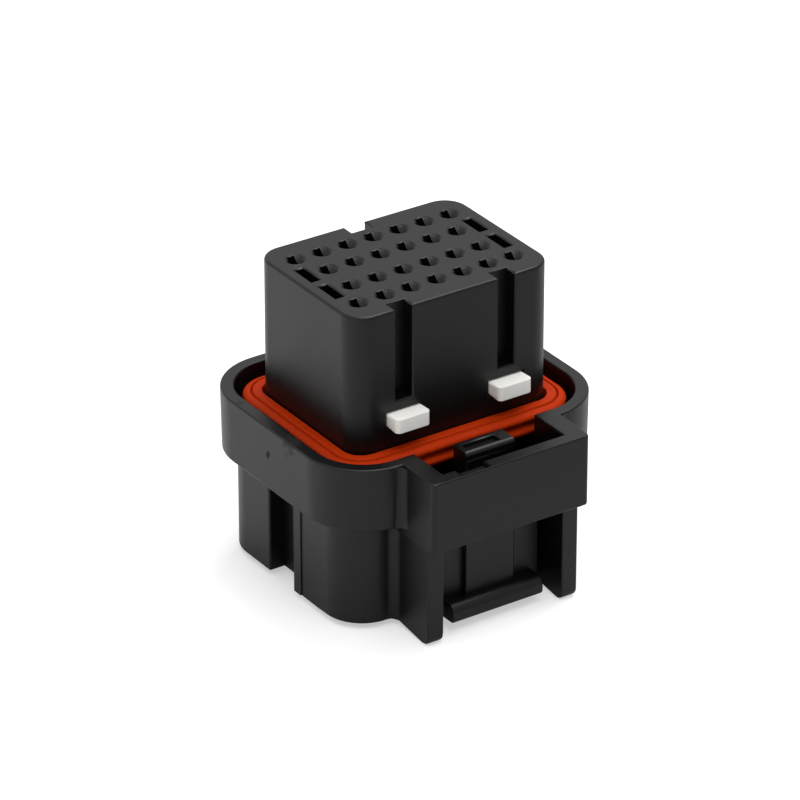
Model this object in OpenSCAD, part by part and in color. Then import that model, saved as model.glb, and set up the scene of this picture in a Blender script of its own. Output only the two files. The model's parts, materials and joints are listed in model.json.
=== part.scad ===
// Sealed rectangular wire-to-board style connector plug, 26 ways, standing on its wire side.
// X runs along the contact rows, the latch is on the -Y side and the mating face points to +Z.
// The origin is at the middle of the rear cover's face, level with the rails' feet. Millimetres.

/* [Contact field] */
// Distance between contacts along a row
pitch = 3.0; // [2.8:0.05:3.1]
// Contacts in each of the two outer rows
outer_ways = 7; // [5:2:7]
// Contacts in each of the two inner rows
inner_ways = 6; // [4:2:6]
// Distance from the middle to an outer row
outer_row_y = 5.5; // [5.3:0.05:5.8]
// Distance from the middle to an inner row
inner_row_y = 2.0; // [1.8:0.05:2.2]
// Diameter of the dished lead-in round a contact slot
mouth_d = 2.2; // [1.9:0.05:2.4]
// Depth of that lead-in
mouth_depth = 0.35; // [0.2:0.05:0.8]
// Width of a contact slot, along the row
blade_w = 0.82; // [0.6:0.02:1.1]
// Length of a contact slot, across the row
blade_l = 1.9; // [1.4:0.05:2]
// Thickness of the front wall that the contact slots go through
front_wall = 2.6; // [1.5:0.1:4]
// Width of the square cavity behind a contact slot
cavity_w = 2.2; // [1.8:0.05:2.4]

/* [Nose] */
// Height of the mating face above the rails' feet
total_h = 32.5; // [31:0.1:36]
// Distance from the last outer contact to the end of the nose
nose_end = 2.6; // [2.4:0.1:3.4]
// Distance from an outer row to the side of the nose
nose_side = 3.35; // [3:0.05:3.8]
// Corner radius of the nose
nose_r = 2.5; // [2:0.1:3.6]
// Rounding round the mating face
nose_edge_r = 0.3; // [0.2:0.05:0.8]
// How much wider the nose is at its root, on each side
nose_draft = 0.02; // [0:0.02:0.2]
// Width of a keyway
key_w = 1.95; // [1.5:0.05:2.4]
// Depth of a keyway
key_depth = 1.6; // [1:0.05:1.8]
// Length of a keyway down from the mating face
key_h = 9.8; // [8:0.1:10.2]
// Distance of the two near keyways from the middle
key_x = 5.95; // [5.2:0.05:6.6]
// Bevel round the mouth of a keyway
key_bevel = 0.15; // [0.1:0.05:0.6]
// Width of the single keyway on the far side
far_key_w = 2.35; // [1.6:0.05:3]
// Distance from the last inner contact to a blind slot beside it
slot_end = 2.3; // [2.1:0.05:2.5]
// Distance of the four blind slots from the middle, across the rows
slot_y = 2.1; // [1.8:0.05:2.6]
// Width of a blind slot
slot_w = 1.1; // [0.8:0.05:1.2]
// Length of a blind slot
slot_l = 3.1; // [2:0.05:3.4]
// Depth of a blind slot
slot_depth = 8; // [4:0.5:9]

/* [Hood] */
// Space for the mating shroud at the ends of the face seal
shroud_end = 0.9; // [0.8:0.05:1.5]
// Space for the mating shroud at the sides of the face seal
shroud_side = 1.15; // [0.9:0.05:1.6]
// Corner radius of the hood
hood_r = 6.7; // [6:0.1:8]
// Wall of the hood
hood_wall = 1.35; // [1.1:0.05:1.5]
// Height of the hood's rim
rim_z = 18.5; // [18:0.1:19.2]
// Height of the hood's lower edge
hood_z = 11.7; // [11.2:0.1:12]
// Height of the floor of the groove inside the hood
groove_z = 12.8; // [12.5:0.1:13.2]
// Rounding of the hood's rim
rim_r = 0.2; // [0.15:0.05:0.5]
// How much the hood narrows towards its lower edge, on each side
hood_draft = 0.1; // [0:0.02:0.3]
// Length of the rib inside the hood's end, on the -X side
hood_rib_l = 6; // [3:0.5:8]
// Thickness of that rib
hood_rib_t = 0.25; // [0.1:0.05:0.4]

/* [Rear body] */
// Height of the rear body's rim above the rails' feet and the rear cover's face
wire_z = 0.6; // [0.3:0.05:0.8]
// How far the ends of the rear body stand back behind the hood
body_inset_end = 1.85; // [1.5:0.05:2.1]
// How far the sides of the rear body stand back behind the hood
body_inset_side = 1.9; // [1.5:0.05:2]
// Corner radius of the rear body
body_r = 4.2; // [3.8:0.1:6]
// Width of the guide slot in each end of the rear body
guide_w = 4.45; // [3:0.05:5]
// Depth of a guide slot
guide_depth = 1.7; // [1:0.1:1.9]
// Place of a guide slot across the rows
guide_y = 0.6; // [-1:0.05:1.5]
// Width of the raised strip beside a guide slot
strip_w = 1.35; // [0.8:0.05:2]
// Height of that strip
strip_h = 0.12; // [0.06:0.02:0.3]

/* [Latch bay] */
// Width of the space between the rails
bay_w = 14; // [13.6:0.1:14.4]
// Thickness of a rail
rail_t = 1.8; // [1.5:0.1:2.1]
// How far the bridge stands out in front of the hood
bridge_out = 5.1; // [4.8:0.1:6]
// How far the bridge's ends stand out past the rails
bridge_end = 0.35; // [0.05:0.05:0.5]
// Thickness of the bridge
bridge_t = 1.5; // [1.2:0.1:1.8]
// Height of the bridge's lower edge
bridge_z = 10.85; // [10.4:0.05:11.2]
// Rounding of the bay's upright edges
bay_r = 0.5; // [0.3:0.1:1.5]
// How far the rails stand back behind the bridge
rail_step = 1.3; // [0.6:0.1:1.5]
// Rounding of a rail's lower front corner
rail_foot_r = 0.9; // [0.6:0.1:2.5]
// Radius of the hollow corner where the bay meets the hood
bay_fillet = 1; // [0.5:0.1:1.4]

/* [Latch lever] */
// Width of the lever's spine and head
spine_w = 5.7; // [5:0.1:6.2]
// Space between the lever's head and the bridge
head_gap = 2.05; // [1.8:0.05:2.3]
// Thickness of the head
head_t = 2.35; // [2:0.05:2.4]
// Height of the head above its catch
head_h = 2.2; // [1.6:0.1:3]
// Thickness of the spine under the catch
neck_t = 1; // [0.8:0.05:1.2]
// Thickness of the spine below the webs
foot_t = 1.75; // [1.5:0.05:2]
// How far the front lip of the head stands out over the spine
head_lip = 0.25; // [0.1:0.05:0.4]
// Thickness of the side plates
plate_t = 0.8; // [0.6:0.05:1]
// How far the side plates stand back behind the spine's face
plate_back = 0.6; // [0.4:0.05:0.9]
// Width over the side plates
plate_w = 12; // [10:0.1:12.6]
// Width of the thumb ridge
ridge_w = 10.6; // [10:0.1:12]
// Height of the thumb ridge
ridge_h = 1.9; // [1.6:0.1:3]
// How far the thumb ridge stands out in front of the spine
ridge_out = 1.5; // [0.8:0.05:1.7]
// Gap under the lever
lever_lift = 1; // [0.6:0.05:1.4]
// Height of the webs that the lever turns on, behind the bridge
pivot_z = 11.2; // [10.9:0.1:11.7]
// Diameter of those webs
web_d = 1.3; // [1:0.05:1.5]

/* [Secondary lock] */
// Height of the lock's lower face
lock_z = 20.1; // [19.8:0.05:20.4]
// Thickness of the lock
lock_t = 1.45; // [1.2:0.05:1.6]
// Width of each lock tab
tab_w = 3.9; // [3:0.1:4.4]
// How far a tab stands out of the nose
tab_out = 1.75; // [1.4:0.05:2]
// Rounding of a tab's upright edges
tab_r = 0.5; // [0.2:0.05:0.7]

/* [Seals and rear cover] */
// Gap between the seal's top and the hood's rim
seal_drop = 0.6; // [0.4:0.05:0.9]
// Height of the face seal
seal_h = 2.7; // [2.4:0.1:3.4]
// Thickness of the face seal between its ribs
seal_t = 1.2; // [0.9:0.05:1.3]
// How far a rib stands out from the face seal
rib_out = 0.75; // [0.4:0.05:0.75]
// Ribs on the face seal
rib_count = 2; // [1:1:2]
// Share of the seal's height that the ribs take
rib_share = 0.85; // [0.6:0.05:0.9]
// Corner radius of the face seal, less than the nose's, which leaves a gap at the corners
seal_corner_r = 1.9; // [1.4:0.1:2.4]
// How far the seat that the seal stands on reaches out of the nose
seat_out = 1; // [0.6:0.05:1.2]
// Distance from the last outer wire to the end of the rear pocket
pocket_end = 2.4; // [2.1:0.1:2.5]
// Distance from an outer row to the side of the rear pocket
pocket_side = 2.7; // [2.5:0.1:3]
// Corner radius of the rear pocket
pocket_r = 2.4; // [1.6:0.1:3]
// Thickness of the wire seal
mat_t = 4; // [3:0.1:4.4]
// Diameter of a wire hole in the wire seal
mat_hole_d = 1.3; // [1:0.05:1.5]
// Thickness of the rear cover
cover_t = 1.6; // [1.2:0.1:2]
// Diameter of a wire hole in the rear cover
cover_hole_d = 2.2; // [1.8:0.05:2.3]
// Size of the snap bead round the rear cover
bead = 0.3; // [0.2:0.05:0.4]

/* [Fits] */
// Gap between rigid pieces that slide or snap together
fit = 0.06; // [0.04:0.01:0.1]
// Gap between a soft seal and its seat
soft_fit = 0.1; // [0.05:0.01:0.2]

/* [Hidden] */
$fn = 48;
eps = 0.01;
arc_steps = 4;
black = [0.09, 0.09, 0.095];
cover_black = [0.11, 0.11, 0.115];
silicone = [0.86, 0.27, 0.1];
ivory = [0.93, 0.92, 0.87];

contacts = concat(
    [for (side = [-1, 1], i = [0:outer_ways - 1]) [(i - (outer_ways - 1) / 2) * pitch, side * outer_row_y]],
    [for (side = [-1, 1], i = [0:inner_ways - 1]) [(i - (inner_ways - 1) / 2) * pitch, side * inner_row_y]]);
// half sizes, along x and across y
field_x = (outer_ways - 1) / 2 * pitch;
nose_x = field_x + nose_end;
nose_y = outer_row_y + nose_side;
seal_in = nose_draft + soft_fit;
groove_x = nose_x + seal_in + seal_t + rib_out + shroud_end;
groove_y = nose_y + seal_in + seal_t + rib_out + shroud_side;
hood_x = groove_x + hood_wall;
hood_y = groove_y + hood_wall;
body_x = hood_x - body_inset_end;
body_y = hood_y - body_inset_side;
pocket_x = field_x + pocket_end;
pocket_y = outer_row_y + pocket_side;
pocket_h = cover_t + mat_t + soft_fit;
bead_z = (wire_z + cover_t) / 2;
slot_x = (inner_ways - 1) / 2 * pitch + slot_end;
rail_x = bay_w / 2 + rail_t;
bay_x = rail_x + bridge_end;
bridge_y = hood_y + bridge_out;
bridge_in = bridge_y - bridge_t;
rail_y = bridge_y - rail_step;
spine_y = bridge_in - head_gap;
pivot_y = spine_y - neck_t;
near_wall = 1.5;
lock_x = nose_x - near_wall;
lock_front = nose_y - near_wall;
lock_back = nose_y - tab_out;
seal_top = rim_z - seal_drop;
seal_low = seal_top - seal_h;

// Points of an arc in the plane of a section
function arc(cx, cz, r, a0, a1) =
    [for (i = [0:arc_steps]) let (a = a0 + (a1 - a0) * i / arc_steps) [cx + r * cos(a), cz + r * sin(a)]];

// A section carried round a rectangle with round corners; it is drawn as [distance from the corner's
// centre, height]
module swept(half_x, half_y, r, section) {
    for (k = [0:3]) {
        a = k % 2 == 0 ? half_x : half_y;
        b = k % 2 == 0 ? half_y : half_x;
        rotate([0, 0, 90 * k]) translate([a - r, b - r, 0]) {
            rotate_extrude(angle = 90) polygon(section);
            rotate([90, 0, 0]) linear_extrude(2 * (b - r)) polygon(section);
        }
    }
}

// A solid block with round corners whose outer section starts and ends on the corner's centre
module block(half_x, half_y, r, z0, z1, section) {
    swept(half_x, half_y, r, concat([[0, z0]], section, [[0, z1]]));
    translate([r - half_x, r / 2 - half_y, z0]) cube([2 * (half_x - r), 2 * half_y - r, z1 - z0]);
    translate([r / 2 - half_x, r - half_y, z0]) cube([2 * half_x - r, 2 * (half_y - r), z1 - z0]);
}

// A plain block with round corners
module prism(half_x, half_y, r, z0, z1) {
    block(half_x, half_y, r, z0, z1, [[r, z0], [r, z1]]);
}

// A box centred along the rows, from one height and depth to another
module slab(w, y0, y1, z0, z1) {
    translate([-w / 2, y0, z0]) cube([w, y1 - y0, z1 - z0]);
}

module at_contacts() {
    for (c = contacts) translate([c[0], c[1], 0]) children();
}

// The nose, with a wider root whose top is the seat of the face seal
module nose_block() {
    block(nose_x, nose_y, nose_r, groove_z - eps, total_h, concat(
        [[nose_r + nose_draft, groove_z - eps]],
        arc(nose_r - nose_edge_r, total_h - nose_edge_r, nose_edge_r, 0, 90)));
    prism(nose_x + seat_out, nose_y + seat_out, nose_r + seat_out, groove_z - eps, seal_low - soft_fit);
}

module hood_block() {
    block(hood_x, hood_y, hood_r, hood_z, rim_z, concat(
        [[hood_r - hood_draft, hood_z]],
        arc(hood_r - rim_r, rim_z - rim_r, rim_r, 0, 90)));
}

// The open groove between the nose and the hood, which takes the seal and the mating shroud
module groove_cut() {
    prism(groove_x, groove_y, hood_r - hood_wall, groove_z, rim_z + 1);
}

// Hollow upright corner where a wall standing out at x meets a face at depth y
module hollow_corner(x, y, z0, z1) {
    for (side = [-1, 1]) scale([side, 1, 1]) difference() {
        translate([x - eps, y - bay_fillet, z0]) cube([bay_fillet + eps, bay_fillet + eps, z1 - z0]);
        translate([x + bay_fillet, y - bay_fillet, z0 - 1]) cylinder(r = bay_fillet, h = z1 - z0 + 2);
    }
}

module bay_walls() {
    // upper part with the bridge
    difference() {
        slab(2 * bay_x, -bridge_y, -body_y + 1, bridge_z, rim_z);
        for (side = [-1, 1]) scale([side, 1, 1]) difference() {
            translate([bay_x - bay_r, -bridge_y - 1, bridge_z - 1]) cube([bay_r + 1, bay_r + 1, rim_z]);
            translate([bay_x - bay_r, bay_r - bridge_y, bridge_z - 2]) cylinder(r = bay_r, h = rim_z + 2);
        }
    }
    // rails, whose lower edges slope down to their feet
    for (side = [-1, 1]) scale([side, 1, 1]) translate([bay_w / 2, 0, 0]) rotate([90, 0, 90])
        linear_extrude(rail_t) polygon(concat(
            [[1 - body_y, bridge_z + 1], [-rail_y, bridge_z + 1]],
            arc(rail_foot_r - rail_y, rail_foot_r, rail_foot_r, 180, 270),
            [[-body_y, wire_z], [1 - body_y, wire_z]]));
    hollow_corner(bay_x, -hood_y + hood_draft, hood_z, rim_z - rim_r);
    hollow_corner(rail_x, -body_y, wire_z, hood_z);
}

// The space that the lever stands in, open to the groove above the groove's floor
module bay_cut() {
    slab(bay_w, -bridge_in, -body_y, -1, rim_z + 1);
    slab(bay_w, -bridge_in, -nose_y - 1, groove_z, rim_z + 1);
}

// Recess in the top of the bridge, which leaves a thin lip in front; it ends beside the lever's head
module bridge_recess() {
    length = 3.2;
    depth = 0.45;
    lip = 0.25;
    translate([-spine_w / 2 + 0.4, lip - bridge_y, rim_z]) rotate([90, 0, 180]) linear_extrude(bridge_t)
        polygon([[0, 1], [0, -depth], [length - depth, -depth], [length, 0], [length, 1]]);
}

// A keyway cut inwards from the face at depth y, bevelled at the mating face
module keyway(w) {
    out = 2 * key_bevel;
    translate([-w / 2, 0, total_h - key_h]) cube([w, key_depth + 1, key_h + 1]);
    translate([0, key_depth + 1, total_h - key_bevel]) rotate([90, 0, 0]) linear_extrude(key_depth + 1)
        polygon([[-w / 2, 0], [w / 2, 0], [w / 2 + out, out], [-w / 2 - out, out]]);
}

module keyways() {
    for (x = [-key_x, key_x]) translate([x, -nose_y - 1, 0]) keyway(key_w);
    translate([0, nose_y - key_depth, 0]) keyway(far_key_w);
}

module blind_slots() {
    for (x = [-slot_x, slot_x]) translate([x, 0, 0])
        for (y = [-slot_y, slot_y])
            slab(slot_w, y - slot_l / 2, y + slot_l / 2, total_h - slot_depth, total_h + 1);
}

// Dished lead-in, slot for a blade, and the chamber behind them
module contact_cavities() {
    at_contacts() {
        translate([0, 0, total_h - mouth_depth]) cylinder(d1 = blade_w, d2 = mouth_d, h = mouth_depth);
        slab(blade_w, -blade_l / 2, blade_l / 2, total_h - front_wall - 1, total_h + 1);
        slab(cavity_w, -cavity_w / 2, cavity_w / 2, pocket_h - 1, total_h - front_wall);
    }
}

// The lock's slot, open at the far side, with a window for each tab on the near side
module lock_cut() {
    slab(2 * (lock_x + fit), -lock_front - fit, nose_y + 1, lock_z - fit, lock_z + lock_t + fit);
    for (x = [-key_x, key_x])
        translate([x, 0, 0]) slab(tab_w + 2 * fit, -nose_y - 1, 0, lock_z - fit, lock_z + lock_t + fit);
}

// Pocket for the wire seal and the rear cover, with a groove for the cover's snap bead
module rear_pocket() {
    prism(pocket_x, pocket_y, pocket_r, -1, pocket_h);
    swept(pocket_x, pocket_y, pocket_r, [
        [pocket_r - 1, bead_z - bead - fit], [pocket_r, bead_z - bead - fit], [pocket_r + bead, bead_z],
        [pocket_r, bead_z + bead + fit], [pocket_r - 1, bead_z + bead + fit]]);
}

module guide_slots() {
    for (side = [-1, 1]) scale([side, 1, 1])
        translate([body_x - guide_depth, guide_y - guide_w / 2, 0]) cube([guide_depth + 1, guide_w, hood_z]);
}

module guide_strips() {
    y = guide_y - guide_w / 2 - strip_w;
    for (side = [-1, 1]) scale([side, 1, 1])
        translate([body_x - 1, y, wire_z]) cube([1 + strip_h, strip_w, hood_z - wire_z]);
}

// Low rib on the inner face of the hood's end, on the -X side
module hood_rib() {
    translate([-groove_x - 1, guide_y - guide_w / 2, 0]) cube([1 + hood_rib_t, hood_rib_l, rim_z - rim_r]);
}

module housing() {
    color(black) difference() {
        union() {
            difference() {
                union() {
                    hood_block();
                    prism(body_x, body_y, body_r, wire_z, groove_z);
                    guide_strips();
                    bay_walls();
                }
                difference() {
                    groove_cut();
                    hood_rib();
                }
                bay_cut();
                bridge_recess();
            }
            nose_block();
        }
        keyways();
        blind_slots();
        contact_cavities();
        lock_cut();
        rear_pocket();
        guide_slots();
    }
}

// Seen from the side: head with a catch, thin neck, thick foot, and the ridge that a thumb presses
module latch_lever() {
    round = 0.5;
    lip_h = 0.9;
    ridge_y = spine_y + ridge_out;
    ridge_top = lever_lift + ridge_h;
    web_y = head_lip - spine_y;
    color(black) {
        difference() {
            translate([-spine_w / 2, 0, 0]) rotate([90, 0, 90]) linear_extrude(spine_w) polygon(concat(
                [[head_t - spine_y, rim_z]],
                arc(round - spine_y, rim_z - round, round, 90, 180),
                [[-spine_y, rim_z - lip_h], [web_y, rim_z - lip_h - head_lip],
                 [web_y, pivot_z + 1], [-spine_y, pivot_z], [-spine_y, lever_lift + round],
                 [foot_t - spine_y, lever_lift], [foot_t - spine_y, pivot_z + 1],
                 [neck_t + web_y, pivot_z + 2], [neck_t + web_y, rim_z - head_h - 0.3],
                 [head_t - spine_y, rim_z - head_h]]));
            head_recess();
        }
        slab(plate_w, plate_back - spine_y, plate_back + plate_t - spine_y, lever_lift + 1, pivot_z + 1);
        translate([-ridge_w / 2, 0, 0]) rotate([90, 0, 90]) linear_extrude(ridge_w) polygon(concat(
            [[foot_t - spine_y, lever_lift]],
            arc(round - ridge_y, lever_lift + round, round, 270, 180),
            arc(2 * round - ridge_y, ridge_top - 2 * round, 2 * round, 180, 90),
            [[foot_t - spine_y, ridge_top]]));
        translate([fit - bay_w / 2, -pivot_y, pivot_z]) rotate([0, 90, 0])
            cylinder(d = web_d, h = bay_w - 2 * fit);
    }
}

// Shallow pocket in the top of the lever's head, left of its solid end
module head_recess() {
    solid_end = 1.35;
    wall = 0.55;
    depth = 0.45;
    translate([wall - spine_w / 2, wall - spine_y, rim_z - depth])
        cube([spine_w - wall - solid_end, head_t - 2 * wall, depth + 1]);
}

// A plate across the cavities, with a window for each contact and two tabs out of the near side
module secondary_lock() {
    color(ivory) difference() {
        union() {
            slab(2 * lock_x, -lock_front, lock_back, lock_z, lock_z + lock_t);
            for (x = [-key_x, key_x]) translate([x, 0, 0]) {
                slab(tab_w, tab_r - nose_y - tab_out, 0, lock_z, lock_z + lock_t);
                slab(tab_w - 2 * tab_r, -nose_y - tab_out, 0, lock_z, lock_z + lock_t);
                for (side = [-1, 1])
                    translate([side * (tab_w / 2 - tab_r), tab_r - nose_y - tab_out, lock_z])
                        cylinder(r = tab_r, h = lock_t);
            }
        }
        at_contacts() slab(cavity_w, -cavity_w / 2, cavity_w / 2, lock_z - 1, lock_z + lock_t + 1);
    }
}

// Ring with a flat top, a fine notch round it and round ribs outside
module interface_seal() {
    step = seal_h / rib_count;
    rib_h = rib_share * step;
    inner = seal_corner_r + seal_in;
    back = inner + seal_t;
    notch = 0.15;
    color(silicone) swept(nose_x, nose_y, seal_corner_r, concat(
        [[inner, seal_top], [inner, seal_low], [back, seal_low]],
        [for (k = [0:rib_count - 1]) for (q = arc(0, 0, 1, -90, 90))
            [back + rib_out * q[0], seal_low + (k + 0.5) * step + rib_h / 2 * q[1]]],
        [[back - notch, seal_top - 2 * notch], [back - 2 * notch, seal_top]]));
}

// Soft block with a hole for each wire and two ribs round its edge
module wire_seal() {
    half_x = pocket_x - soft_fit;
    half_y = pocket_y - soft_fit;
    z1 = pocket_h - soft_fit / 2;
    waist = 0.5;
    color(silicone) difference() {
        block(half_x, half_y, pocket_r, cover_t, z1, [
            [pocket_r - waist, cover_t], [pocket_r, cover_t + mat_t * 0.15],
            [pocket_r, cover_t + mat_t * 0.25], [pocket_r - waist, cover_t + mat_t * 0.5],
            [pocket_r, cover_t + mat_t * 0.75], [pocket_r, cover_t + mat_t * 0.85], [pocket_r - waist, z1]]);
        at_contacts() translate([0, 0, cover_t - 1]) cylinder(d = mat_hole_d, h = mat_t + 3);
    }
}

// Plate that closes the wire side and is held by a bead round its edge
module rear_cover() {
    r = pocket_r - fit;
    color(cover_black) difference() {
        block(pocket_x - fit, pocket_y - fit, r, 0, cover_t, [
            [r, 0], [r, bead_z - bead], [r + bead - fit, bead_z], [r, bead_z + bead], [r, cover_t]]);
        at_contacts() translate([0, 0, -1]) cylinder(d = cover_hole_d, h = cover_t + 2);
    }
}

housing();
latch_lever();
secondary_lock();
interface_seal();
wire_seal();
rear_cover();
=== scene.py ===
"""Looks of a sealed rectangular connector plug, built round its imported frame."""
import json
import logging
import math
from collections.abc import Callable
from dataclasses import dataclass, field
from enum import Enum

import bmesh
import bpy
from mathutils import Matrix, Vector
from mathutils.geometry import intersect_point_line

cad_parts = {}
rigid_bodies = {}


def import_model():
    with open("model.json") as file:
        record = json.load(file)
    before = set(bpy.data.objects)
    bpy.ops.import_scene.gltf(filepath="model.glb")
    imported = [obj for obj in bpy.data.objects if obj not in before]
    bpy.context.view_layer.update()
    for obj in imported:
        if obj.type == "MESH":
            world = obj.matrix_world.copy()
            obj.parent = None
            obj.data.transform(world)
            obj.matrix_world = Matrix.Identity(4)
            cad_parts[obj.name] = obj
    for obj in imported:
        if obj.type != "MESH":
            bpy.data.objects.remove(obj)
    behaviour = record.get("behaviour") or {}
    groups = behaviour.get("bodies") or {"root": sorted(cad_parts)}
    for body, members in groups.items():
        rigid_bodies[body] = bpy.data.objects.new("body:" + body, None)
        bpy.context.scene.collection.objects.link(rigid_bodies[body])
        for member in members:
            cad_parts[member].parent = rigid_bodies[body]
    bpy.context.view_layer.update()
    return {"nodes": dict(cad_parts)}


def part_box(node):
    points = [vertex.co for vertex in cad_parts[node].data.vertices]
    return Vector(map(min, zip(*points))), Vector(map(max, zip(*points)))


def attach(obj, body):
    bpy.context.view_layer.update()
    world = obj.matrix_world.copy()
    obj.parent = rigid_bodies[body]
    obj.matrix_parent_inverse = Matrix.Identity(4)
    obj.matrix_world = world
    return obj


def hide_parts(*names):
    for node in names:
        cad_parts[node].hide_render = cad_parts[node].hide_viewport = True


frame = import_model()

MM = 0.001
NEAR = 0.01 * MM         # slack for finding the CAD's own points again
WELD = 1e-6              # points nearer than this, in metres, are one point
FACING = 0.5             # cosine of the widest angle at which something still faces an edge
ROOM_SHARE = 0.42        # share of the room beside an edge that its rounding may take
LEAST_WEIGHT = 0.3       # an edge with room for less than this share of its rounding stays sharp
log = logging.getLogger("plug")


class Body(Enum):
    """The bodies that move against each other."""

    SHELL = "body"
    LEVER = "lever"
    LOCK = "lock"


class Slot(Enum):
    """The record's material slots."""

    HOUSING = "housing"
    LEVER = "lever"
    LOCK = "lock"
    FACE_SEAL = "face_seal"
    WIRE_SEAL = "wire_seal"
    COVER = "cover"


class Socket(Enum):
    """Kinds of node group socket."""

    NUMBER = "NodeSocketFloat"
    COUNT = "NodeSocketInt"
    VECTOR = "NodeSocketVector"
    MATERIAL = "NodeSocketMaterial"
    GEOMETRY = "NodeSocketGeometry"


# ---------------------------------------------------------------- node trees

class NodeTree:
    """A short way to add and join the nodes of one tree."""

    def __init__(self, tree: bpy.types.NodeTree) -> None:
        """Keeps the tree.

        Args:
            tree: The node tree to build in.
        """
        self.tree = tree

    def add(self, kind: str, values: dict | None = None, **settings) -> bpy.types.Node:
        """Adds one node.

        Args:
            kind: The node's type name.
            values: Input socket name or number to a value, or to an output socket to join.
            **settings: Attributes of the node, set before its sockets.

        Returns:
            The new node.
        """
        node = self.tree.nodes.new(kind)
        for name, value in settings.items():
            setattr(node, name, value)
        for socket, value in (values or {}).items():
            if isinstance(value, bpy.types.NodeSocket):
                self.tree.links.new(value, node.inputs[socket])
            else:
                node.inputs[socket].default_value = value
        return node

    def math(self, operation: str, a, b=0.0) -> bpy.types.NodeSocket:
        """Adds a Math node.

        Args:
            operation: Its operation.
            a: First value or socket.
            b: Second value or socket.

        Returns:
            The node's output.
        """
        return self.add("ShaderNodeMath", {0: a, 1: b}, operation=operation).outputs[0]


class Group(NodeTree):
    """A node group with named inputs and outputs."""

    def __init__(self, name: str, kind: str, inputs: list[tuple], outputs: list[tuple]) -> None:
        """Makes the group and its two end nodes.

        Args:
            name: The group's name.
            kind: ShaderNodeTree or GeometryNodeTree.
            inputs: Rows of (name, Socket, start value).
            outputs: Rows of (name, Socket).
        """
        super().__init__(bpy.data.node_groups.new(name, kind))
        self.ids: dict[str, str] = {}
        for label, socket, value in inputs:
            item = self.tree.interface.new_socket(label, in_out="INPUT", socket_type=socket.value)
            if value is not None:
                item.default_value = value
            self.ids[label] = item.identifier
        for label, socket in outputs:
            self.tree.interface.new_socket(label, in_out="OUTPUT", socket_type=socket.value)
        self.given = self.add("NodeGroupInput").outputs
        self.result = self.add("NodeGroupOutput").inputs

    def put(self, name: str, socket: bpy.types.NodeSocket) -> None:
        """Joins a socket to one of the group's outputs.

        Args:
            name: The output's name.
            socket: What it gives out.
        """
        self.tree.links.new(socket, self.result[name])


def moulded_skin() -> Group:
    """Makes the group for fine grain, slow unevenness and draw lines of a moulded surface.

    Returns:
        A group that gives a tone factor, a roughness shift and a normal.
    """
    g = Group(
        "moulded_skin", "ShaderNodeTree",
        [("Grain Scale", Socket.NUMBER, 9000.0), ("Grain Height", Socket.NUMBER, 0.00001),
         ("Unevenness", Socket.NUMBER, 0.15), ("Draw Lines", Socket.NUMBER, 0.1)],
        [("Tone", Socket.NUMBER), ("Roughness Shift", Socket.NUMBER), ("Normal", Socket.VECTOR)])
    place = g.add("ShaderNodeTexCoord").outputs["Object"]
    grain = g.add("ShaderNodeTexNoise",
                  {"Vector": place, "Scale": g.given["Grain Scale"], "Detail": 3.0})
    slow = g.add("ShaderNodeTexNoise",
                 {"Vector": place, "Scale": 160.0, "Detail": 4.0, "Roughness": 0.6})
    upright = g.add("ShaderNodeMapping", {"Vector": place, "Scale": (1400.0, 1400.0, 60.0)})
    lines = g.add("ShaderNodeTexNoise", {"Vector": upright.outputs[0], "Scale": 1.0, "Detail": 2.0})
    shift = g.math("MULTIPLY", g.math("SUBTRACT", slow.outputs["Fac"], 0.5), g.given["Unevenness"])
    streak = g.math("MULTIPLY", g.math("SUBTRACT", lines.outputs["Fac"], 0.5),
                    g.given["Draw Lines"])
    both = g.math("ADD", shift, streak)
    bump = g.add("ShaderNodeBump", {"Strength": 1.0, "Distance": g.given["Grain Height"],
                                    "Height": grain.outputs["Fac"]})
    g.put("Tone", g.math("ADD", both, 1.0))
    g.put("Roughness Shift", both)
    g.put("Normal", bump.outputs["Normal"])
    return g


def scuff_spot() -> Group:
    """Makes the group for one rough, irregular spot, such as a gate mark or a nick in an edge.

    Returns:
        A group that gives a mask, 1 in the rough specks of the spot.
    """
    g = Group("scuff_spot", "ShaderNodeTree",
              [("Centre", Socket.VECTOR, (0.0, 0.0, 0.0)), ("Size", Socket.NUMBER, 0.001)],
              [("Mask", Socket.NUMBER)])
    place = g.add("ShaderNodeTexCoord").outputs["Object"]
    far = g.add("ShaderNodeVectorMath", {0: place, 1: g.given["Centre"]}, operation="DISTANCE")
    inside = g.math("SUBTRACT", 1.0, g.math("DIVIDE", far.outputs["Value"], g.given["Size"]))
    rough = g.add("ShaderNodeTexNoise", {"Vector": place, "Scale": 2600.0, "Detail": 3.0})
    ragged = g.math("MULTIPLY", g.math("SUBTRACT", rough.outputs["Fac"], 0.5), 2.4)
    edge = g.math("ADD", inside, ragged)
    ramp = g.add("ShaderNodeMapRange", {"Value": edge, "From Min": 0.35, "From Max": 0.6})
    near = g.math("GREATER_THAN", inside, 0.0)
    g.put("Mask", g.math("MULTIPLY", ramp.outputs["Result"], near))
    return g


def level_line() -> Group:
    """Makes the group for the fine line where two halves of a mould meet at one height.

    Returns:
        A group that gives a mask, 1 on the line.
    """
    g = Group("level_line", "ShaderNodeTree",
              [("Height", Socket.NUMBER, 0.0), ("Width", Socket.NUMBER, 0.0001)],
              [("Mask", Socket.NUMBER)])
    place = g.add("ShaderNodeTexCoord").outputs["Object"]
    z = g.add("ShaderNodeSeparateXYZ", {"Vector": place}).outputs["Z"]
    off = g.math("ABSOLUTE", g.math("SUBTRACT", z, g.given["Height"]))
    ramp = g.add("ShaderNodeMapRange",
                 {"Value": off, "From Max": g.given["Width"], "To Min": 1.0, "To Max": 0.0})
    g.put("Mask", ramp.outputs["Result"])
    return g


# ---------------------------------------------------------------- finishes

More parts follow.
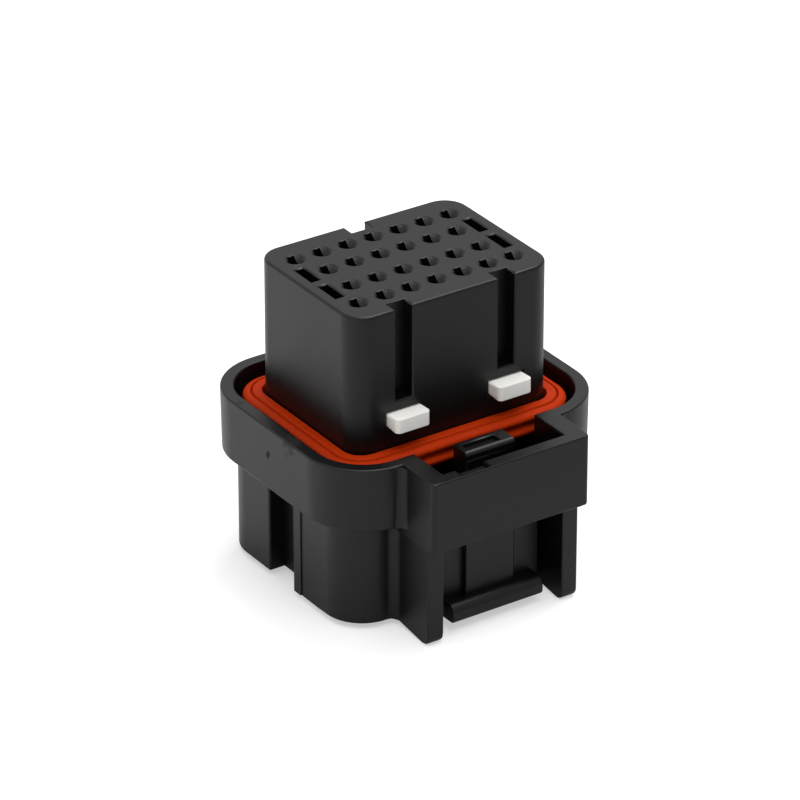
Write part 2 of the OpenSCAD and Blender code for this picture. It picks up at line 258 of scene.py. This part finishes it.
@dataclass(frozen=True)
class Finish:
    """A moulded finish. Colours are linear, lengths in metres."""

    name: str
    colour: tuple[float, float, float]
    roughness: float
    specular: float = 0.37
    subsurface: float = 0.0
    subsurface_radius: tuple[float, float, float] = (1.0, 0.3, 0.1)
    subsurface_scale: float = 0.001
    grain_scale: float = 9000.0
    grain_height: float = 0.00001
    unevenness: float = 0.1
    draw_lines: float = 0.05
    line_height: float = 0.0
    line_width: float = 0.00006
    line_tone: float = 0.0
    scuffs: tuple[tuple[float, float, float, float], ...] = ()
    scuff_tone: float = 1.5
    scuff_roughness: float = 0.2

    def build(self, kit: dict[str, Group]) -> bpy.types.Material:
        """Makes the material.

        Args:
            kit: The shared shader node groups by name.

        Returns:
            The new material.
        """
        material = bpy.data.materials.new(self.name)
        material.use_nodes = True
        material.node_tree.nodes.clear()
        n = NodeTree(material.node_tree)
        skin = n.add("ShaderNodeGroup", {}, node_tree=kit["skin"].tree)
        for label, value in (("Grain Scale", self.grain_scale), ("Grain Height", self.grain_height),
                             ("Unevenness", self.unevenness), ("Draw Lines", self.draw_lines)):
            skin.inputs[label].default_value = value
        tone = skin.outputs["Tone"]
        rough = n.math("ADD", skin.outputs["Roughness Shift"], self.roughness)
        if self.line_tone:
            line = n.add("ShaderNodeGroup", {}, node_tree=kit["line"].tree)
            line.inputs["Height"].default_value = self.line_height
            line.inputs["Width"].default_value = self.line_width
            tone = n.math("ADD", tone, n.math("MULTIPLY", line.outputs["Mask"], self.line_tone))
        for x, y, z, size in self.scuffs:
            spot = n.add("ShaderNodeGroup", {}, node_tree=kit["scuff"].tree)
            spot.inputs["Centre"].default_value = (x, y, z)
            spot.inputs["Size"].default_value = size
            mask = spot.outputs["Mask"]
            tone = n.math("ADD", tone, n.math("MULTIPLY", mask, self.scuff_tone))
            rough = n.math("ADD", rough, n.math("MULTIPLY", mask, self.scuff_roughness))
        tinted = n.add("ShaderNodeVectorMath", {0: self.colour, "Scale": tone}, operation="SCALE")
        shader = n.add("ShaderNodeBsdfPrincipled", {
            "Base Color": tinted.outputs["Vector"], "Roughness": rough, "IOR": 1.5,
            "Specular IOR Level": self.specular, "Normal": skin.outputs["Normal"]})
        if self.subsurface > 0:
            shader.inputs["Subsurface Weight"].default_value = self.subsurface
            shader.inputs["Subsurface Radius"].default_value = self.subsurface_radius
            shader.inputs["Subsurface Scale"].default_value = self.subsurface_scale
        n.add("ShaderNodeOutputMaterial", {"Surface": shader.outputs["BSDF"]})
        return material


# ---------------------------------------------------------------- mesh work

def linked(name: str, data: bpy.types.ID) -> bpy.types.Object:
    """Adds an object at the origin, unturned and unscaled.

    Args:
        name: Its name.
        data: Its mesh, curve, light or camera.

    Returns:
        The new object.
    """
    piece = bpy.data.objects.new(name, data)
    bpy.context.scene.collection.objects.link(piece)
    return piece


def frozen(helper: bpy.types.Object) -> bpy.types.Mesh:
    """Turns a helper object with live modifiers into a plain mesh and removes the helper.

    Args:
        helper: The object.

    Returns:
        The evaluated mesh.
    """
    bpy.context.view_layer.update()
    graph = bpy.context.evaluated_depsgraph_get()
    mesh = bpy.data.meshes.new_from_object(helper.evaluated_get(graph))
    bpy.data.objects.remove(helper)
    return mesh


def bends(edge: bmesh.types.BMEdge, angle: float) -> bool:
    """Tells whether an edge's two faces meet at more than an angle.

    Args:
        edge: The edge.
        angle: The angle, in degrees.

    Returns:
        True if they do.
    """
    return edge.is_manifold and edge.calc_face_angle() > math.radians(angle)


def squareness(edge: bmesh.types.BMEdge, sharp: float) -> float:
    """Tells how squarely a cut in a flat place meets the sharp edges at its ends.

    Args:
        edge: The cut.
        sharp: Edges sharper than this, in degrees, are sharp.

    Returns:
        The sine of the smallest angle between them, 1 where they meet squarely.
    """
    along = (edge.verts[1].co - edge.verts[0].co).normalized()
    sides = [(other.other_vert(vert).co - vert.co).normalized()
             for vert in edge.verts for other in vert.link_edges if bends(other, sharp)]
    return min((along.cross(side).length for side in sides), default=0.0)


def merge_flats(bm: bmesh.types.BMesh, sharp: float, flat: float = 1.0) -> None:
    """Joins the faces that lie in one plane.

    Of the cuts that have to stay, it keeps the ones that meet the sharp edges most squarely.

    Args:
        bm: The mesh, changed in place.
        sharp: Edges sharper than this, in degrees, are sharp.
        flat: Faces that meet at less than this, in degrees, lie in one plane.
    """
    cuts = [edge for edge in bm.edges if edge.is_manifold and not bends(edge, flat)]
    for edge in sorted(cuts, key=lambda cut: squareness(cut, sharp)):
        if edge.is_valid and len(set(edge.link_faces)) == 2:
            one, two = edge.link_faces
            shared_edges = set(one.edges) & set(two.edges)
            shared_verts = set(one.verts) & set(two.verts)
            if len(shared_edges) == 1 and len(shared_verts) == 2:
                bmesh.utils.face_join([one, two], True)


def nearest(vert: bmesh.types.BMVert, edge: bmesh.types.BMEdge) -> Vector:
    """Finds the point of an edge that is nearest to a vertex.

    Args:
        vert: The vertex.
        edge: The edge.

    Returns:
        The point.
    """
    start, end = (other.co for other in edge.verts)
    share = intersect_point_line(vert.co, start, end)[1]
    return start.lerp(end, min(1.0, max(0.0, share)))


def room_beside(edge: bmesh.types.BMEdge, angle: float) -> float:
    """Finds how wide a rounding one edge has room for in its two faces.

    Args:
        edge: The edge.
        angle: Edges sharper than this, in degrees, are rounded too.

    Returns:
        The widest rounding, in metres.
    """
    across = [math.inf]
    for vert in edge.verts:
        along = (edge.other_vert(vert).co - vert.co).normalized()
        for other in vert.link_edges:
            side = other.other_vert(vert).co - vert.co
            onwards = bends(other, angle) and side.dot(along) < -FACING * side.length
            if other is not edge and not onwards:
                across.append(side.cross(along).length)
    for loop in edge.link_loops:
        inward = loop.face.normal.cross(loop.link_loop_next.vert.co - loop.vert.co).normalized()
        for other in loop.face.edges:
            if not set(other.verts) & set(edge.verts):
                gaps = [vert.co - nearest(vert, edge) for vert in other.verts]
                gaps += [nearest(vert, other) - vert.co for vert in edge.verts]
                across += [gap.length for gap in gaps if gap.dot(inward) > FACING * gap.length]
    return ROOM_SHARE * min(across)


def rounded_copy(node: str, width: float, reshape: Callable[[bmesh.types.BMesh], None],
                 least_face: float, segments: int = 2, angle: float = 30.0) -> bpy.types.Mesh:
    """Copies a CAD node's mesh and rounds its sharp edges a little, as a mould does.

    Args:
        node: The CAD node.
        width: Width of the rounding, in metres.
        reshape: Changes the copy before its edges are rounded.
        least_face: Edges beside a face smaller than this, in square metres, stay sharp.
        segments: Steps across the rounding.
        angle: Edges sharper than this, in degrees, are rounded.

    Returns:
        A new mesh.
    """
    bm = bmesh.new()
    bm.from_mesh(frame["nodes"][node].data)
    bmesh.ops.remove_doubles(bm, verts=bm.verts, dist=WELD)
    merge_flats(bm, angle)
    reshape(bm)
    share = bm.edges.layers.float.new("bevel_weight_edge")
    for edge in bm.edges:
        edge.smooth = not bends(edge, angle)
        smallest = min((face.calc_area() for face in edge.link_faces), default=0.0)
        if not edge.smooth and edge.is_convex and smallest > least_face:
            weight = min(1.0, room_beside(edge, angle) / width)
            edge[share] = weight if weight > LEAST_WEIGHT else 0.0
    for face in bm.faces:
        face.smooth = True
    mesh = bpy.data.meshes.new(node + "_copy")
    bm.to_mesh(mesh)
    bm.free()
    helper = linked(node + "_helper", mesh)
    bevel = helper.modifiers.new("round", "BEVEL")
    bevel.width = width
    bevel.segments = segments
    bevel.limit_method = "WEIGHT"
    bevel.use_clamp_overlap = False
    level = helper.modifiers.new("level", "WEIGHTED_NORMAL")
    level.keep_sharp = True
    return frozen(helper)


def outwards(mesh: bpy.types.Mesh) -> None:
    """Merges a closed mesh's doubles and points its faces outwards.

    Args:
        mesh: The mesh, changed in place.
    """
    bm = bmesh.new()
    bm.from_mesh(mesh)
    bmesh.ops.remove_doubles(bm, verts=bm.verts, dist=1e-7)
    bmesh.ops.recalc_face_normals(bm, faces=bm.faces)
    bm.to_mesh(mesh)
    bm.free()


def arc(cx: float, cy: float, rx: float, ry: float, start: float, end: float,
        steps: int) -> list[tuple[float, float]]:
    """Points along part of an ellipse.

    Args:
        cx: Centre, first coordinate.
        cy: Centre, second coordinate.
        rx: Half size along the first coordinate.
        ry: Half size along the second.
        start: First angle, in degrees.
        end: Last angle, in degrees.
        steps: Number of steps.

    Returns:
        The points.
    """
    turns = [math.radians(start + (end - start) * i / steps) for i in range(steps + 1)]
    return [(cx + rx * math.cos(t), cy + ry * math.sin(t)) for t in turns]


# ---------------------------------------------------------------- geometry node trees

def ring_sweep() -> Group:
    """Makes the tree that carries a flat section round a rectangle with round corners.

    Returns:
        A tree for a curve object; the section's x points outwards and its -y points up.
    """
    g = Group("ring_sweep", "GeometryNodeTree",
              [("Section", Socket.GEOMETRY, None), ("Length", Socket.NUMBER, 0.02),
               ("Depth", Socket.NUMBER, 0.02), ("Corner Radius", Socket.NUMBER, 0.002),
               ("Corner Steps", Socket.COUNT, 16),
               ("Height", Socket.NUMBER, 0.0), ("Material", Socket.MATERIAL, None)],
              [("Ring", Socket.GEOMETRY)])
    path = g.add("GeometryNodeCurvePrimitiveQuadrilateral",
                 {"Width": g.given["Length"], "Height": g.given["Depth"]})
    turned = g.add("GeometryNodeFilletCurve",
                   {"Curve": path.outputs[0], "Radius": g.given["Corner Radius"],
                    "Count": g.given["Corner Steps"]}, mode="POLY")
    level = g.add("GeometryNodeSetCurveNormal", {"Curve": turned.outputs[0]}, mode="Z_UP")
    swept = g.add("GeometryNodeCurveToMesh",
                  {"Curve": level.outputs[0], "Profile Curve": g.given["Section"]})
    offset = g.add("ShaderNodeCombineXYZ", {"Z": g.given["Height"]})
    raised = g.add("GeometryNodeSetPosition",
                   {"Geometry": swept.outputs[0], "Offset": offset.outputs[0]})
    real = g.add("GeometryNodeRealizeInstances", {"Geometry": raised.outputs[0]})
    done = g.add("GeometryNodeSetMaterial",
                 {"Geometry": real.outputs[0], "Material": g.given["Material"]})
    g.put("Ring", done.outputs[0])
    return g


def hole_lips() -> Group:
    """Makes the tree that sets a small raised lip round every hole of the contact field.

    Returns:
        A tree that keeps nothing of its own object's mesh.
    """
    g = Group("hole_lips", "GeometryNodeTree",
              [("Unused", Socket.GEOMETRY, None), ("Pitch", Socket.NUMBER, 0.003),
               ("Outer Ways", Socket.COUNT, 7), ("Inner Ways", Socket.COUNT, 6),
               ("Outer Row", Socket.NUMBER, 0.0055), ("Inner Row", Socket.NUMBER, 0.002),
               ("Lip Radius", Socket.NUMBER, 0.0008), ("Lip Thickness", Socket.NUMBER, 0.00015),
               ("Height", Socket.NUMBER, 0.0), ("Material", Socket.MATERIAL, None)],
              [("Lips", Socket.GEOMETRY)])
    step = g.add("ShaderNodeCombineXYZ", {"X": g.given["Pitch"]}).outputs[0]
    rows = g.add("GeometryNodeJoinGeometry")
    for ways, row in (("Outer Ways", "Outer Row"), ("Inner Ways", "Inner Row")):
        half = g.math("MULTIPLY", g.math("SUBTRACT", g.given[ways], 1.0), -0.5)
        start_x = g.math("MULTIPLY", half, g.given["Pitch"])
        for side in (-1.0, 1.0):
            start_y = g.math("MULTIPLY", g.given[row], side)
            start = g.add("ShaderNodeCombineXYZ",
                          {"X": start_x, "Y": start_y, "Z": g.given["Height"]})
            line = g.add("GeometryNodeMeshLine",
                         {"Count": g.given[ways], "Start Location": start.outputs[0],
                          "Offset": step}, mode="OFFSET", count_mode="TOTAL")
            g.tree.links.new(line.outputs[0], rows.inputs[0])
    path = g.add("GeometryNodeCurvePrimitiveCircle",
                 {"Resolution": 24, "Radius": g.given["Lip Radius"]}, mode="RADIUS")
    bead = g.add("GeometryNodeCurvePrimitiveCircle",
                 {"Resolution": 8, "Radius": g.given["Lip Thickness"]}, mode="RADIUS")
    lip = g.add("GeometryNodeCurveToMesh",
                {"Curve": path.outputs[0], "Profile Curve": bead.outputs[0]})
    smooth = g.add("GeometryNodeSetShadeSmooth", {"Geometry": lip.outputs[0]})
    placed = g.add("GeometryNodeInstanceOnPoints",
                   {"Points": rows.outputs[0], "Instance": smooth.outputs[0]})
    real = g.add("GeometryNodeRealizeInstances", {"Geometry": placed.outputs[0]})
    done = g.add("GeometryNodeSetMaterial",
                 {"Geometry": real.outputs[0], "Material": g.given["Material"]})
    g.put("Lips", done.outputs[0])
    return g


def grown(name: str, data: bpy.types.ID, tree: Group, values: dict) -> bpy.types.Mesh:
    """Runs a geometry node tree on an object and keeps the plain mesh that it makes.

    Args:
        name: Name for the mesh.
        data: The object's own mesh or curve.
        tree: The tree.
        values: The tree's input names and their values.

    Returns:
        The new mesh.
    """
    helper = linked(name + "_helper", data)
    modifier = helper.modifiers.new("grow", "NODES")
    modifier.node_group = tree.tree
    for label, value in values.items():
        modifier[tree.ids[label]] = value
    mesh = frozen(helper)
    mesh.name = name
    outwards(mesh)
    return mesh


# ---------------------------------------------------------------- sub-assemblies

@dataclass
class SubAssembly:
    """One piece of the plug: a copy of its CAD node with moulded edges. Lengths are in metres."""

    node: str
    body: Body
    slot: Slot
    finish: Finish
    edge: float = 0.1 * MM
    least_face: float = 0.4 * MM * MM
    pieces: list[bpy.types.Object] = field(default_factory=list)

    def meshes(self, material: bpy.types.Material) -> dict[str, bpy.types.Mesh]:
        """Makes the meshes that stand for the node.

        Args:
            material: The material, for the trees that set it; not used here.

        Returns:
            Piece name to mesh.
        """
        mesh = rounded_copy(self.node, self.edge, self.reshape, self.least_face)
        return {self.node + "_moulded": mesh}

    def reshape(self, bm: bmesh.types.BMesh) -> None:
        """Changes the copy before its edges are rounded. Most pieces need no change.

        Args:
            bm: The copy, not used here.
        """

    def build(self, kit: dict[str, Group]) -> None:
        """Makes the pieces and dresses them.

        Args:
            kit: The shared node groups by name.
        """
        material = self.finish.build(kit)
        for name, mesh in self.meshes(material).items():
            piece = linked(name, mesh)
            self.dress(piece, material)
            self.pieces.append(piece)
            log.info("%s: %d faces in %s", name, len(mesh.polygons), self.body.value)

    def dress(self, piece: bpy.types.Object, material: bpy.types.Material) -> None:
        """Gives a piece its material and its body.

        Args:
            piece: The piece.
            material: Its material.
        """
        piece.data.materials.clear()
        piece.data.materials.append(material)
        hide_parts(self.node)
        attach(piece, self.body.value)


@dataclass(frozen=True)
class ContactField:
    """Where the contacts stand: two long outer rows and two shorter inner ones, in metres."""

    pitch: float = 3.0 * MM
    outer_row: float = 5.5 * MM
    inner_row: float = 2.0 * MM
    outer_ways: int = 7
    inner_ways: int = 6

    def centres(self) -> list[Vector]:
        """Lists the contacts' centres.

        Returns:
            The centres, in the plane of the face.
        """
        rows = ((self.outer_ways, self.outer_row), (self.inner_ways, self.inner_row))
        return [Vector((self.pitch * (i - (ways - 1) / 2), side * row))
                for ways, row in rows for side in (-1, 1) for i in range(ways)]


@dataclass
class Housing(SubAssembly):
    """The moulded shell, with steep lead-ins and the mould's small lozenge on the hood's end."""

    least_face: float = 0.1 * MM * MM
    contacts: ContactField = ContactField()
    mouth_radius: float = 1.1 * MM
    mouth_depth: float = 0.35 * MM
    steeper: float = 2.2
    mark_place: tuple[float, float] = (0.1 * MM, 15.5 * MM)
    mark_half: tuple[float, float] = (0.26 * MM, 0.42 * MM)
    mark_line: float = 0.1 * MM
    mark_height: float = 0.05 * MM

    def meshes(self, material: bpy.types.Material) -> dict[str, bpy.types.Mesh]:
        """Makes the shell and the lozenge.

        Args:
            material: Not used.

        Returns:
            Piece name to mesh.
        """
        return {**super().meshes(material), "mould_lozenge": self.lozenge()}

    def reshape(self, bm: bmesh.types.BMesh) -> None:
        """Makes the lead-in of every contact steeper.

        Args:
            bm: The copy.
        """
        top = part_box(self.node)[1][2]
        centres = self.contacts.centres()
        for vert in bm.verts:
            depth = top - vert.co.z
            if NEAR < depth < self.mouth_depth + NEAR:
                off = min((vert.co.xy - centre).length for centre in centres)
                if off < self.mouth_radius + NEAR:
                    vert.co.z = top - depth * self.steeper

    def lozenge(self) -> bpy.types.Mesh:
        """Makes the open lozenge, raised on the hood's end.

        Returns:
            The new mesh.
        """
        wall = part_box(self.node)[0][0]
        y0, z0 = self.mark_place
        bm = bmesh.new()
        rings = []
        inside = wall + 3 * self.mark_height
        outside = wall - self.mark_height / 3
        for x, grow in ((inside, 0.0), (outside, 0.0), (outside, -self.mark_line),
                        (inside, -self.mark_line)):
            half_y, half_z = (half + grow for half in self.mark_half)
            corners = ((0, half_z), (half_y, 0), (0, -half_z), (-half_y, 0))
            rings.append([bm.verts.new((x, y0 + y, z0 + z)) for y, z in corners])
        for a, b in zip(rings, rings[1:] + rings[:1]):
            for i in range(4):
                j = (i + 1) % 4
                bm.faces.new((a[i], a[j], b[j], b[i]))
        bmesh.ops.recalc_face_normals(bm, faces=bm.faces)
        mesh = bpy.data.meshes.new("mould_lozenge")
        bm.to_mesh(mesh)
        bm.free()
        return mesh


@dataclass
class FaceSeal(SubAssembly):
    """The soft ring round the nose: flat top, fine notch and two round ribs."""

    thickness: float = 1.2 * MM
    rib_out: float = 0.75 * MM
    rib_share: float = 0.72
    rib_lift: float = 0.08 * MM
    ribs: int = 2
    notch: float = 0.12 * MM
    notch_depth: float = 0.45 * MM
    corner: float = 2.02 * MM
    soft_edge: float = 0.12 * MM
    rib_steps: int = 10

    def section(self, height: float) -> list[tuple[float, float]]:
        """Draws the ring's section: distance out from its inner wall, and height.

        Args:
            height: The ring's height.

        Returns:
            The closed outline.
        """
        step = height / self.ribs
        half = self.rib_share * step / 2
        r = self.soft_edge
        points = arc(r, height - r, r, r, 90, 180, 3) + arc(r, r, r, r, 180, 270, 3)
        points.append((self.thickness, 0.0))
        for k in range(self.ribs):
            middle = (k + 0.5) * step + self.rib_lift
            points += arc(self.thickness, middle, self.rib_out, half, -90, 90, self.rib_steps)
        points.append((self.thickness - self.notch, height - self.notch_depth))
        return points + arc(self.thickness - 2 * self.notch - r, height - r, r, r, 0, 90, 3)

    def meshes(self, material: bpy.types.Material) -> dict[str, bpy.types.Mesh]:
        """Sweeps the section round the nose.

        Args:
            material: The silicone.

        Returns:
            Piece name to mesh.
        """
        low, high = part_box(self.node)
        reach = self.thickness + self.rib_out
        curve = bpy.data.curves.new("seal_section", "CURVE")
        curve.dimensions = "3D"
        outline = self.section(high[2] - low[2])
        spline = curve.splines.new("POLY")
        spline.points.add(len(outline) - 1)
        for point, (out, up) in zip(spline.points, outline):
            point.co = (out, -up, 0.0, 1.0)
        spline.use_cyclic_u = True
        mesh = grown("face_seal_ring", curve, ring_sweep(), {
            "Length": high[0] - low[0] - 2 * reach, "Depth": high[1] - low[1] - 2 * reach,
            "Corner Radius": self.corner, "Height": low[2], "Material": material})
        mesh.shade_smooth()
        mesh.set_sharp_from_angle(angle=math.radians(35))
        return {"face_seal_ring": mesh}


@dataclass
class WireSeal(SubAssembly):
    """The soft block behind the rear cover, with a raised lip round each wire hole."""

    contacts: ContactField = ContactField()
    lip_radius: float = 0.8 * MM
    lip_thickness: float = 0.14 * MM

    def meshes(self, material: bpy.types.Material) -> dict[str, bpy.types.Mesh]:
        """Makes the block and its lips.

        Args:
            material: The silicone.

        Returns:
            Piece name to mesh.
        """
        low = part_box(self.node)[0]
        lips = grown("wire_seal_lips", bpy.data.meshes.new("lip_field"), hole_lips(), {
            "Pitch": self.contacts.pitch, "Outer Ways": self.contacts.outer_ways,
            "Inner Ways": self.contacts.inner_ways, "Outer Row": self.contacts.outer_row,
            "Inner Row": self.contacts.inner_row, "Lip Radius": self.lip_radius,
            "Lip Thickness": self.lip_thickness, "Height": low[2], "Material": material})
        return {**super().meshes(material), "wire_seal_lips": lips}


# ---------------------------------------------------------------- studio

@dataclass(frozen=True)
class View:
    """Where the camera stands: angles in degrees, lengths in metres, lens in millimetres."""

    target: tuple[float, float, float] = (-0.003985, -0.005182, 0.020312)
    azimuth: float = -33.9
    elevation: float = 28.159
    distance: float = 0.49839
    lens: float = 231.72

    def place(self) -> None:
        """Makes the camera and looks through it."""
        a = math.radians(self.azimuth)
        e = math.radians(self.elevation)
        forward = Vector((-math.sin(a) * math.cos(e), math.cos(a) * math.cos(e), -math.sin(e)))
        data = bpy.data.cameras.new("camera")
        data.lens = self.lens
        data.sensor_width = 36.0
        data.clip_start = 0.01
        camera = linked("camera", data)
        camera.location = Vector(self.target) - forward * self.distance
        camera.rotation_euler = forward.to_track_quat("-Z", "Y").to_euler()
        bpy.context.scene.camera = camera


@dataclass(frozen=True)
class Lamp:
    """One soft light that faces the plug. Lengths are in metres, power in watts."""

    name: str
    place: tuple[float, float, float]
    size: float
    power: float
    aim_height: float = 0.015

    def hang(self) -> None:
        """Adds the light."""
        data = bpy.data.lights.new(self.name, "AREA")
        data.shape = "SQUARE"
        data.size = self.size
        data.energy = self.power
        lamp = linked(self.name, data)
        lamp.location = self.place
        beam = Vector((0, 0, self.aim_height)) - Vector(self.place)
        lamp.rotation_euler = beam.to_track_quat("-Z", "Y").to_euler()


@dataclass(frozen=True)
class Studio:
    """Pale floor, bright surroundings and soft lights; the floor's colour holds a painted shade
    towards the dim side.
    """

    bright: float = 0.88
    dim: float = 0.4
    dim_side: tuple[float, float, float] = (0.45, -0.6, -0.2)
    dim_span: tuple[float, float] = (-0.6, 0.8)
    # painted shade: the floor's colour on its lit side and on its dim side
    floor_tone_lit_side: float = 0.9
    floor_painted_shade: float = 0.4
    floor_fade: float = 0.12
    floor_half: float = 1.5
    floor_lift: float = 1.1
    floor_gap: float = 0.02 * MM
    lamps: tuple[Lamp, ...] = (Lamp("key", (0.2, 0.07, 0.5), 0.3, 1.5),
                               Lamp("fill", (-0.05, -0.2, 0.55), 0.35, 1.25))

    def build(self) -> None:
        """Makes the world, the floor and the lights."""
        bpy.context.scene.view_settings.view_transform = "Standard"
        self.surround()
        self.floor()
        for lamp in self.lamps:
            lamp.hang()

    def surround(self) -> None:
        """Makes the world: white to the camera, and dimmer on one side for the light it gives."""
        world = bpy.data.worlds.new("studio")
        bpy.context.scene.world = world
        world.use_nodes = True
        world.node_tree.nodes.clear()
        n = NodeTree(world.node_tree)
        direction = n.add("ShaderNodeTexCoord").outputs["Generated"]
        side = n.add("ShaderNodeVectorMath", {0: direction, 1: self.dim_side},
                     operation="DOT_PRODUCT")
        start, end = self.dim_span
        shade = n.add("ShaderNodeMapRange",
                      {"Value": side.outputs["Value"], "From Min": start, "From Max": end,
                       "To Min": self.bright, "To Max": self.dim})
        ray = n.add("ShaderNodeLightPath").outputs["Is Camera Ray"]
        level = n.add("ShaderNodeMix", {0: ray, 2: shade.outputs["Result"], 3: 1.0})
        ground = n.add("ShaderNodeBackground",
                       {"Color": (1, 1, 1, 1), "Strength": level.outputs[0]})
        n.add("ShaderNodeOutputWorld", {"Surface": ground.outputs["Background"]})

    def floor(self) -> None:
        """Makes the floor: white to the camera but for the shadow, and clear from below; its colour
        is painted darker towards the dim side, a painted shade that the plug's faces reflect.
        """
        mesh = bpy.data.meshes.new("floor")
        half = self.floor_half
        low = -self.floor_gap
        corners = [(-half, -half, low), (half, -half, low), (half, half, low), (-half, half, low)]
        mesh.from_pydata(corners, [], [(0, 1, 2, 3)])
        material = bpy.data.materials.new("floor")
        material.use_nodes = True
        material.node_tree.nodes.clear()
        n = NodeTree(material.node_tree)
        place = n.add("ShaderNodeTexCoord").outputs["Object"]
        away = Vector((self.dim_side[0], self.dim_side[1], 0.0)).normalized()
        along = n.add("ShaderNodeVectorMath", {0: place, 1: tuple(away)},
                      operation="DOT_PRODUCT").outputs["Value"]
        fade = self.floor_fade
        # painted shade: the floor's colour falls from the lit side to the dim side, standing in for
        # light that falls off there
        tone = n.add("ShaderNodeMapRange",
                     {"Value": along, "From Min": -fade, "From Max": fade,
                      "To Min": self.floor_tone_lit_side, "To Max": self.floor_painted_shade}).outputs["Result"]
        matte = n.add("ShaderNodeBsdfDiffuse", {"Color": tone})
        ray = n.add("ShaderNodeLightPath").outputs["Is Camera Ray"]
        gone = n.add("ShaderNodeVectorMath", {0: place}, operation="LENGTH").outputs["Value"]
        haze = n.add("ShaderNodeMapRange",
                     {"Value": gone, "From Min": fade, "From Max": 3 * fade})
        lift = n.math("SUBTRACT", n.math("ADD", haze.outputs["Result"], self.floor_lift), tone)
        lift = n.math("MULTIPLY", ray, lift)
        glow = n.add("ShaderNodeEmission", {"Strength": lift})
        both = n.add("ShaderNodeAddShader", {0: matte.outputs[0], 1: glow.outputs[0]})
        under = n.math("MULTIPLY", ray, n.add("ShaderNodeNewGeometry").outputs["Backfacing"])
        clear = n.add("ShaderNodeBsdfTransparent")
        seen = n.add("ShaderNodeMixShader", {0: under, 1: both.outputs[0], 2: clear.outputs[0]})
        n.add("ShaderNodeOutputMaterial", {"Surface": seen.outputs[0]})
        mesh.materials.append(material)
        linked("floor", mesh)


# ---------------------------------------------------------------- the whole plug

def plug() -> list[SubAssembly]:
    """Lists the sub-assemblies with their sizes and finishes.

    Returns:
        The sub-assemblies, from the shell outwards.
    """
    black = (0.0008, 0.0008, 0.0009)
    nose_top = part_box("housing")[1][2]
    rim = 18.5 * MM
    shell = Finish("black_shell", black, 0.38, line_height=nose_top - 0.55 * MM, line_tone=2.0,
                   scuffs=((-15.4 * MM, -3.6 * MM, rim, 1.9 * MM),
                           (-15.4 * MM, 5.8 * MM, rim, 0.7 * MM),
                           (15.8 * MM, -5.6 * MM, rim, 0.7 * MM),
                           (2.7 * MM, -17.7 * MM, rim, 0.5 * MM)))
    silicone = (0.42, 0.028, 0.002)
    return [
        Housing("housing", Body.SHELL, Slot.HOUSING, shell, 0.16 * MM),
        SubAssembly("latch_lever", Body.LEVER, Slot.LEVER, Finish(
            "black_lever", black, 0.38), 0.12 * MM),
        SubAssembly("secondary_lock", Body.LOCK, Slot.LOCK, Finish(
            "white_lock", (0.92, 0.91, 0.87), 0.4, subsurface=0.15, subsurface_scale=0.5 * MM,
            subsurface_radius=(1.0, 0.9, 0.8), unevenness=0.04, draw_lines=0.03), 0.25 * MM),
        SubAssembly("rear_cover", Body.SHELL, Slot.COVER, Finish(
            "black_cover", black, 0.45), 0.1 * MM),
        FaceSeal("interface_seal", Body.SHELL, Slot.FACE_SEAL, Finish(
            "orange_silicone", silicone, 0.5, specular=0.04, grain_scale=5000.0, draw_lines=0.2)),
        WireSeal("wire_seal", Body.SHELL, Slot.WIRE_SEAL, Finish(
            "orange_wire_silicone", silicone, 0.5, specular=0.04, grain_scale=5000.0), 0.05 * MM),
    ]


def main() -> None:
    """Builds the looks, the studio and the camera."""
    logging.basicConfig(level=logging.INFO)
    kit = {"skin": moulded_skin(), "scuff": scuff_spot(), "line": level_line()}
    for part in plug():
        part.build(kit)
    Studio().build()
    View().place()


if __name__ == "__main__":
    main()
